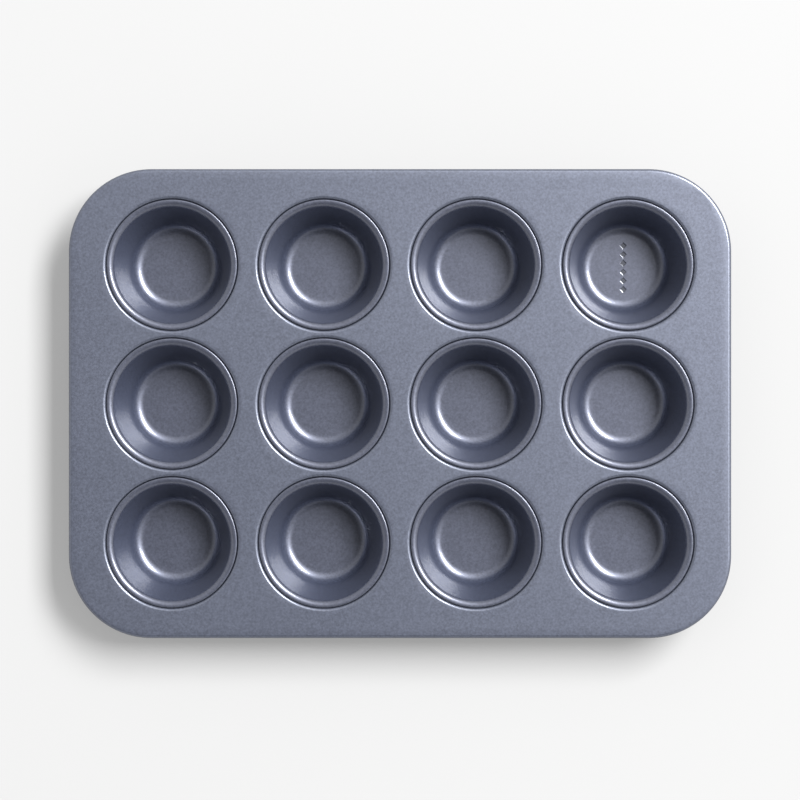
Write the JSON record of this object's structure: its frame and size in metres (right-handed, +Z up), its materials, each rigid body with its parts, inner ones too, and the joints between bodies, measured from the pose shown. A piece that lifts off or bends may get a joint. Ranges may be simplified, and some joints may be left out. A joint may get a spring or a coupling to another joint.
{
  "type": "muffin tin",
  "caption": "Muffin tin: a flat sheet with round cups seamed into it in rows, each cup open at the top, and an edge rolled round a wire.",
  "frame": {"origin": "middle of the footprint, at the undersides of the cups, where the tin stands", "axes": "+X along the long side, +Y towards row a, +Z up out of the cups' mouths"},
  "size_m": [0.401, 0.284, 0.032],
  "materials": {
    "sheet_coating": "satin slate-blue non-stick coating with a fine metallic fleck",
    "cup_coating": "satin slate-blue non-stick coating with a fine metallic fleck, drawn cup",
    "bare_wire": "drawn bright steel wire"
  },
  "bodies": {
    "root": {"top_sheet": "sheet_coating", "rim_wire": "bare_wire", "cup_a1": "cup_coating", "cup_a2": "cup_coating", "cup_a3": "cup_coating", "cup_a4": "cup_coating", "cup_b1": "cup_coating", "cup_b2": "cup_coating", "cup_b3": "cup_coating", "cup_b4": "cup_coating", "cup_c1": "cup_coating", "cup_c2": "cup_coating", "cup_c3": "cup_coating", "cup_c4": "cup_coating"}
  },
  "joints": []
}
